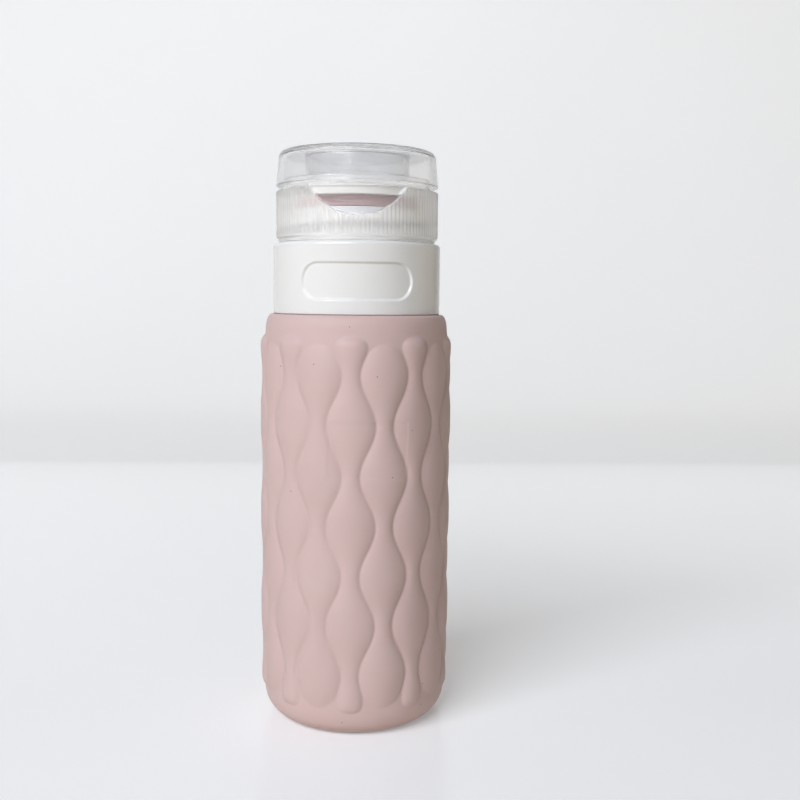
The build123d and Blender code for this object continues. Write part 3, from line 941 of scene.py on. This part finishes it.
def cap_shift(r, z, a):
    """Cuts the grooves and the scoop, adds the hinge's pad, and raises the thread in the bore."""
    a = wrap(a)
    x = CAP_R * np.sin(np.radians(a))
    in_scoop = np.where(np.abs(a) < SCOOP_HALF_ARC, SCOOP_R - np.hypot(x, z - SCOOP_Z), OUT_OF_SCOOP)
    cut = smoothstep((in_scoop + SCOOP_EDGE_OUT) / SCOOP_EDGE)
    pad, pad_r = pad_at_back(a, smoothstep((z - CAP_PAD_FOOT_Z) / PAD_END_EDGE))
    grooved = r - groove_depth(a, z) * (1 - cut) * (1 - pad)
    padded = mixed(grooved, pad_r, pad)
    scooped = mixed(padded, np.minimum(padded, SCOOP_FLOOR_R), cut)
    threaded = (np.abs(r - CAP_BORE_R) < ON_FACE) & (z > BORE_THREAD_FROM_Z) & (z < BORE_THREAD_TO_Z)
    r = np.where(r > CAP_OUTER_FROM_R, scooped, r)
    return np.where(threaded, r - thread_height(a, z, BORE_THREAD_Z), r)


def mark_thin_wall(ob):
    """Writes thin_wall: where the scoop leaves a thin wall, the deck's edge in it and the seat rim."""
    co = np.empty(len(ob.data.vertices) * 3, np.float32)
    ob.data.vertices.foreach_get("co", co)
    x, y, z = co.reshape(-1, 3).T / MM
    front_wall = (y < WINDOW_FRONT_Y) & (np.hypot(x, y) > WINDOW_IN_R)
    in_scoop = np.where(front_wall, SCOOP_R - np.hypot(x, z - SCOOP_Z), OUT_OF_SCOOP)
    share = smoothstep((in_scoop - WINDOW_EDGE_IN) / WINDOW_EDGE)
    share = share * np.clip((WINDOW_TOP_Z - z) / WINDOW_TOP_EDGE, -1.0, 1.0)
    wall = PLAIN_WALL + (WINDOW_WALL - PLAIN_WALL) * share
    wall = np.where(z > SEAT_RIM_FROM_Z, SEAT_RIM_WALL, wall)
    attribute = ob.data.attributes.new("thin_wall", "FLOAT", "POINT")
    attribute.data.foreach_set("value", wall.astype(np.float32))


def make_cap():
    loop = rounded_loop([
        (CAP_BORE_R, CAP_FOOT_Z, CAP_BORE_EDGE),
        (CAP_FOOT_R, CAP_FOOT_Z, CAP_FOOT_EDGE),
        (CAP_FOOT_R, CAP_FOOT_TOP_Z, CAP_STEP_EDGE),
        (CAP_R, CAP_BAND_Z, CAP_BAND_EDGE),
        (CAP_R, DECK_TOP_Z, CAP_TOP_EDGE),
        (SEAT_RIM_R, DECK_TOP_Z, SEAT_RIM_ROOT_EDGE),
        (SEAT_RIM_R, SEAT_RIM_TOP_Z, SEAT_RIM_EDGE),
        (SEAT_RIM_IN_R, SEAT_RIM_TOP_Z, SEAT_RIM_EDGE),
        (SEAT_RIM_IN_R, DECK_TOP_Z, SEAT_RIM_IN_EDGE),
        (ORIFICE_R, DECK_TOP_Z, ORIFICE_EDGE),
        (ORIFICE_R, DECK_FOOT_Z, ORIFICE_EDGE),
        (SEAT_TUBE_R, DECK_FOOT_Z, ORIFICE_EDGE),
        (SEAT_TUBE_R, BEAD_TOP_Z, BEAD_TOP_EDGE),
        (BEAD_R, BEAD_FOOT_Z, BEAD_EDGE),
        (BEAD_R, SEAT_TUBE_FOOT_Z, SEAT_TUBE_IN_EDGE),
        (SEAT_TUBE_OUT_R, SEAT_TUBE_FOOT_Z, SEAT_TUBE_EDGE),
        (SEAT_TUBE_OUT_R, DECK_FOOT_Z, SEAT_TUBE_ROOT_EDGE),
        (CAP_BORE_R, DECK_FOOT_Z, DECK_FOOT_EDGE),
    ], steps=4)
    angles = even_angles(CAP_COLUMNS)
    ob = turned("cap_shell", subdivided(loop, cap_longest), angles, cap_shift, sharp=38.0)
    mark_thin_wall(ob)
    dress(ob, cap_plastic("cap_milky"), "cap", "cap_milky", "cap_base")


make_cap()

# flip lid
LID_R = 18.0
LID_TOP_R = 17.3
LID_FOOT_Z = 119.0
LID_TOP_Z = 126.5
LID_CEILING_Z = 125.5
LID_IN_R = 16.9
LID_CEILING_R = 16.2
HANGING_RING_R = 11.5
HANGING_RING_IN_R = 10.3
HANGING_RING_FOOT_Z = 121.1
LID_FOOT_IN_EDGE = 0.12
LID_FOOT_EDGE = 0.15
LID_TOP_EDGE = 1.3
LID_CEILING_EDGE = 0.9
HANGING_RING_EDGE = 0.3
HANGING_RING_ROOT_EDGE = 0.25
LID_OUTER_FROM_R = 17.35
LID_FINE_HALF_ARC = 20.0
LID_PAD_ROWS_FROM_R = 17.0
LID_PAD_ROWS_TO_Z = 122.5
LID_PAD_ROW = 0.2
LID_ROW = 0.7


def lid_longest(r, z):
    """Fine rows on the lower outside, for the hinge's pad, and coarse ones elsewhere."""
    return LID_PAD_ROW if r > LID_PAD_ROWS_FROM_R and z < LID_PAD_ROWS_TO_Z else LID_ROW


def lid_shift(r, z, a):
    """Adds the hinge's pad."""
    pad, pad_r = pad_at_back(a, smoothstep((LID_PAD_TOP_Z - z) / PAD_END_EDGE))
    return np.where(r > LID_OUTER_FROM_R, mixed(r, pad_r, pad), r)


def make_lid():
    angles = mixed_angles(BACK - LID_FINE_HALF_ARC, BACK + LID_FINE_HALF_ARC, fine_step=0.35, coarse_step=0.7)
    loop = rounded_loop([
        (LID_IN_R, LID_FOOT_Z, LID_FOOT_IN_EDGE),
        (LID_R, LID_FOOT_Z, LID_FOOT_EDGE),
        (LID_TOP_R, LID_TOP_Z, LID_TOP_EDGE),
        (0.0, LID_TOP_Z, 0),
        (0.0, LID_CEILING_Z, 0),
        (HANGING_RING_IN_R, LID_CEILING_Z, HANGING_RING_ROOT_EDGE),
        (HANGING_RING_IN_R, HANGING_RING_FOOT_Z, HANGING_RING_EDGE),
        (HANGING_RING_R, HANGING_RING_FOOT_Z, HANGING_RING_EDGE),
        (HANGING_RING_R, LID_CEILING_Z, HANGING_RING_ROOT_EDGE),
        (LID_CEILING_R, LID_CEILING_Z, LID_CEILING_EDGE),
    ], steps=9)
    ob = turned("lid_shell", subdivided(loop, lid_longest), angles, lid_shift, sharp=40.0)
    dress(ob, lid_plastic("lid_clear"), "lid", "lid_clear", "flip_lid")


make_lid()

# strap hinge
STRAP_HALF_W = 5.0
STRAP_IN_Y = 18.35
STRAP_OUT_Y = 18.75
STRAP_FOOT_Z = 115.9
STRAP_TOP_Z = 120.9
BEND_Z = 118.4
BEND_FINE_HALF_H = 0.55
BEND_THINNING = 0.22
BEND_HALF_H = 0.35
BEND_EDGE = 0.25
STRAP_EDGE = 0.12
INNER_SHARE = 0.5
STRAP_END_EDGE_W = 0.25
STRAP_SIDE_EDGE_W = 0.3
STRAP_COLUMNS = 41
STRAP_END_ROWS = 9
STRAP_BEND_ROWS = 45


def rounding(distance, width):
    """How much an edge is eased at a distance from it."""
    return STRAP_EDGE * (1 - min(1.0, distance / width)) ** 2


def make_strap():
    """A thin strap with rounded edges, thinnest across the bend."""
    bend_foot = BEND_Z - BEND_FINE_HALF_H
    bend_top = BEND_Z + BEND_FINE_HALF_H
    heights = np.concatenate([
        np.linspace(STRAP_FOOT_Z, bend_foot, STRAP_END_ROWS)[:-1],
        np.linspace(bend_foot, bend_top, STRAP_BEND_ROWS)[:-1],
        np.linspace(bend_top, STRAP_TOP_Z, STRAP_END_ROWS),
    ])
    widths = np.linspace(-STRAP_HALF_W, STRAP_HALF_W, STRAP_COLUMNS)
    bm = bmesh.new()
    rows_in, rows_out = [], []
    for z in heights:
        thinning = BEND_THINNING * (1 - smoothstep((abs(z - BEND_Z) - BEND_HALF_H) / BEND_EDGE))
        end = rounding(min(z - STRAP_FOOT_Z, STRAP_TOP_Z - z), STRAP_END_EDGE_W)
        edges = [end + rounding(STRAP_HALF_W - abs(x), STRAP_SIDE_EDGE_W) for x in widths]
        inner = [(x, STRAP_IN_Y + thinning + INNER_SHARE * edge, z) for x, edge in zip(widths, edges)]
        outer = [(x, STRAP_OUT_Y - edge, z) for x, edge in zip(widths, edges)]
        rows_in.append([bm.verts.new(Vector(p) * MM) for p in inner])
        rows_out.append([bm.verts.new(Vector(p) * MM) for p in outer])
    last_row = len(heights) - 1
    for i in range(last_row):
        for j in range(STRAP_COLUMNS - 1):
            for rows in (rows_in, rows_out):
                bm.faces.new((rows[i][j], rows[i][j + 1], rows[i + 1][j + 1], rows[i + 1][j]))
        for j in (0, -1):
            bm.faces.new((rows_in[i][j], rows_in[i + 1][j], rows_out[i + 1][j], rows_out[i][j]))
    for i in (0, last_row):
        for j in range(STRAP_COLUMNS - 1):
            bm.faces.new((rows_in[i][j], rows_out[i][j], rows_out[i][j + 1], rows_in[i][j + 1]))
    bmesh.ops.recalc_face_normals(bm, faces=bm.faces)
    mesh = bpy.data.meshes.new("hinge_strap")
    bm.to_mesh(mesh)
    bm.free()
    ob = link_mesh("hinge_strap", mesh, sharp=40.0)
    mesh.materials.append(hinge_plastic("hinge_milky"))
    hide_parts("living_hinge")
    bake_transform(ob)


make_strap()


# the valve and its ring keep their CAD meshes
def dress_cad(node, mat):
    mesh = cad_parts[node].data
    mesh.materials.clear()
    mesh.materials.append(mat)
    for face in mesh.polygons:
        face.material_index = 0


dress_cad("no_drip_valve", valve_silicone("valve_silicone"))
dress_cad("valve_ring", glossy_white("ring_white"))

# floor and backdrop
FLOOR_FRONT_Y = -1.2
FLOOR_HALF_W = 2.2
BACKDROP_CURVE_Y = 0.55
BACKDROP_CURVE_R = 0.4
BACKDROP_CURVE_STEPS = 12
BACKDROP_TOP_Z = 1.6
FLOOR_DARK = (0.80, 0.825, 0.86)
FLOOR_LIGHT = (0.83, 0.855, 0.89)
GLOW_COLOUR = (0.98, 0.985, 1.0, 1.0)
GLOW_NEAR = 0.25
GLOW_FAR = 0.47
GLOW_FAR_Y = 0.62
FLOOR_GLOSS = 0.3
GLOSS_FADE_FROM_Y = 0.10
GLOSS_FADE_TO_Y = 0.35
# painted light and shade: the matt floor's bounce colour, brighter near the object and darker far from it
BOUNCE_LIT_NEAR = (0.98, 0.92, 0.81)
BOUNCE_SHADED_FAR = (0.86, 0.80, 0.69)
BOUNCE_NEAR_R = 0.05
BOUNCE_FAR_R = 0.25


def seen_rays(nt):
    """1 for rays that show the background: straight, mirrored or through glass. Half after a matt bounce."""
    rays = nt.nodes.new("ShaderNodeLightPath").outputs
    seen = maths(nt, "MAXIMUM", rays["Is Camera Ray"], rays["Is Glossy Ray"])
    seen = maths(nt, "MAXIMUM", seen, rays["Is Transmission Ray"])
    matt = remap(nt, rays["Diffuse Depth"], 1.0, 0.5, from_low=0.0, from_high=1.0)
    return maths(nt, "MULTIPLY", seen, matt)


def floor_material(name):
    """Pale and faintly glossy where it is seen, and a warm matt floor for the light that it bounces, with
    painted light and shade: brighter near the object and darker away from it.
    """
    mat, nt, b, out = new_material(name)
    c = coords(nt)
    y = part_of(nt, c, "Y")
    nt.links.new(clouded(nt, c, 3.0, FLOOR_DARK, FLOOR_LIGHT), b.inputs["Base Color"])
    b.inputs["Roughness"].default_value = 0.22
    gloss = remap(nt, y, FLOOR_GLOSS, 0.0, from_low=GLOSS_FADE_FROM_Y, from_high=GLOSS_FADE_TO_Y)
    nt.links.new(gloss, b.inputs["Specular IOR Level"])
    glow = nt.nodes.new("ShaderNodeEmission")
    glow.inputs["Color"].default_value = GLOW_COLOUR
    strength = remap(nt, y, GLOW_NEAR, GLOW_FAR, from_low=0.0, from_high=GLOW_FAR_Y)
    nt.links.new(strength, glow.inputs["Strength"])
    lit = nt.nodes.new("ShaderNodeAddShader")
    nt.links.new(b.outputs["BSDF"], lit.inputs[0])
    nt.links.new(glow.outputs[0], lit.inputs[1])
    # painted light and shade: the bounce colour falls off away from the object, as the lamp's light does
    away = remap(nt, length_of(nt, c), 0.0, 1.0, from_low=BOUNCE_NEAR_R, from_high=BOUNCE_FAR_R)
    matt = nt.nodes.new("ShaderNodeBsdfDiffuse")
    nt.links.new(ramp(nt, away, [(0.0, BOUNCE_LIT_NEAR), (1.0, BOUNCE_SHADED_FAR)]), matt.inputs["Color"])
    pick = nt.nodes.new("ShaderNodeMixShader")
    nt.links.new(seen_rays(nt), pick.inputs[0])
    nt.links.new(matt.outputs[0], pick.inputs[1])
    nt.links.new(lit.outputs[0], pick.inputs[2])
    nt.links.new(pick.outputs[0], out.inputs["Surface"])
    return mat


def make_stage():
    """A pale floor that curves up behind the object."""
    profile = [(FLOOR_FRONT_Y, 0.0), (BACKDROP_CURVE_Y, 0.0)]
    for k in range(1, BACKDROP_CURVE_STEPS + 1):
        a = math.radians(-90 + 90 * k / BACKDROP_CURVE_STEPS)
        y = BACKDROP_CURVE_Y + BACKDROP_CURVE_R * math.cos(a)
        profile.append((y, BACKDROP_CURVE_R + BACKDROP_CURVE_R * math.sin(a)))
    profile.append((BACKDROP_CURVE_Y + BACKDROP_CURVE_R, BACKDROP_TOP_Z))
    verts = [(x, y, z) for y, z in profile for x in (-FLOOR_HALF_W, FLOOR_HALF_W)]
    faces = [(k, k + 1, k + 3, k + 2) for k in range(0, len(verts) - 2, 2)]
    mesh = bpy.data.meshes.new("floor")
    mesh.from_pydata(verts, [], faces)
    mesh.shade_smooth()
    mesh.materials.append(floor_material("floor_pale"))
    floor = bpy.data.objects.new("floor", mesh)
    scene.collection.objects.link(floor)


make_stage()

# surroundings
AMBIENT_COLOUR = (1.0, 0.91, 0.79, 1.0)
AMBIENT_STRENGTH = 0.03
SEEN_GREY = 0.765


def make_world():
    """A pale grey that is seen, and a faint warm light from all round."""
    world = bpy.data.worlds.new("studio")
    scene.world = world
    world.use_nodes = True
    nt = world.node_tree
    nt.nodes.clear()
    ambient = nt.nodes.new("ShaderNodeBackground")
    set_inputs(ambient, {"Color": AMBIENT_COLOUR, "Strength": AMBIENT_STRENGTH})
    seen = nt.nodes.new("ShaderNodeBackground")
    set_inputs(seen, {"Color": (SEEN_GREY, SEEN_GREY, SEEN_GREY, 1.0), "Strength": 1.0})
    choose = nt.nodes.new("ShaderNodeMixShader")
    nt.links.new(seen_rays(nt), choose.inputs[0])
    nt.links.new(ambient.outputs[0], choose.inputs[1])
    nt.links.new(seen.outputs[0], choose.inputs[2])
    out = nt.nodes.new("ShaderNodeOutputWorld")
    nt.links.new(choose.outputs[0], out.inputs["Surface"])


make_world()

# lamps
AIM = Vector((0, 0, 0.07))


def area_lamp(name, azimuth, elevation, distance, size, watts, colour):
    """A soft lamp at an angle left of the camera, aimed at the middle of the object."""
    az = math.radians(azimuth)
    el = math.radians(elevation)
    out = Vector((-math.sin(az) * math.cos(el), -math.cos(az) * math.cos(el), math.sin(el)))
    lamp = bpy.data.lights.new(name, "AREA")
    lamp.shape = "RECTANGLE"
    lamp.size, lamp.size_y = size
    lamp.energy = watts
    lamp.color = colour
    ob = bpy.data.objects.new(name, lamp)
    turn = out.to_track_quat("Z", "Y").to_matrix().to_4x4()
    ob.matrix_world = Matrix.Translation(AIM + out * distance) @ turn
    scene.collection.objects.link(ob)


area_lamp(
    "key", azimuth=32, elevation=35, distance=1.3, size=(1.0, 0.53), watts=16.3, colour=(0.945, 0.965, 1.0),
)
area_lamp(
    "fill", azimuth=-105, elevation=9, distance=1.0, size=(0.8, 0.30), watts=0.5, colour=(1.0, 0.84, 0.62),
)

# camera
CAMERA_PLACE = (0, -0.2301, 0.0948)
CAMERA_YAW = 2.48
CAMERA_PITCH = 5.76
CAMERA_ROLL = 0.6
CAMERA_LENS = 45.72
SENSOR_WIDTH = 36.0
CLIP_START = 0.01


def make_camera():
    """A camera turned right by its yaw, down by its pitch and about its own axis by its roll."""
    data = bpy.data.cameras.new("camera")
    data.lens = CAMERA_LENS
    data.sensor_width = SENSOR_WIDTH
    data.clip_start = CLIP_START
    camera = bpy.data.objects.new("camera", data)
    scene.collection.objects.link(camera)
    scene.camera = camera
    yaw = math.radians(CAMERA_YAW)
    pitch = math.radians(CAMERA_PITCH)
    roll = math.radians(CAMERA_ROLL)
    level = math.cos(pitch)
    forward = Vector((math.sin(yaw) * level, math.cos(yaw) * level, -math.sin(pitch)))
    right = Vector((math.cos(yaw), -math.sin(yaw), 0))
    up = right.cross(forward)
    rolled_right = math.cos(roll) * right + math.sin(roll) * up
    rolled_up = -math.sin(roll) * right + math.cos(roll) * up
    basis = Matrix((rolled_right, rolled_up, -forward)).transposed()
    camera.matrix_world = Matrix.Translation(CAMERA_PLACE) @ basis.to_4x4()


make_camera()

scene.view_settings.view_transform = "Standard"
scene.cycles.max_bounces = 16
scene.cycles.transmission_bounces = 14
scene.cycles.transparent_max_bounces = 16
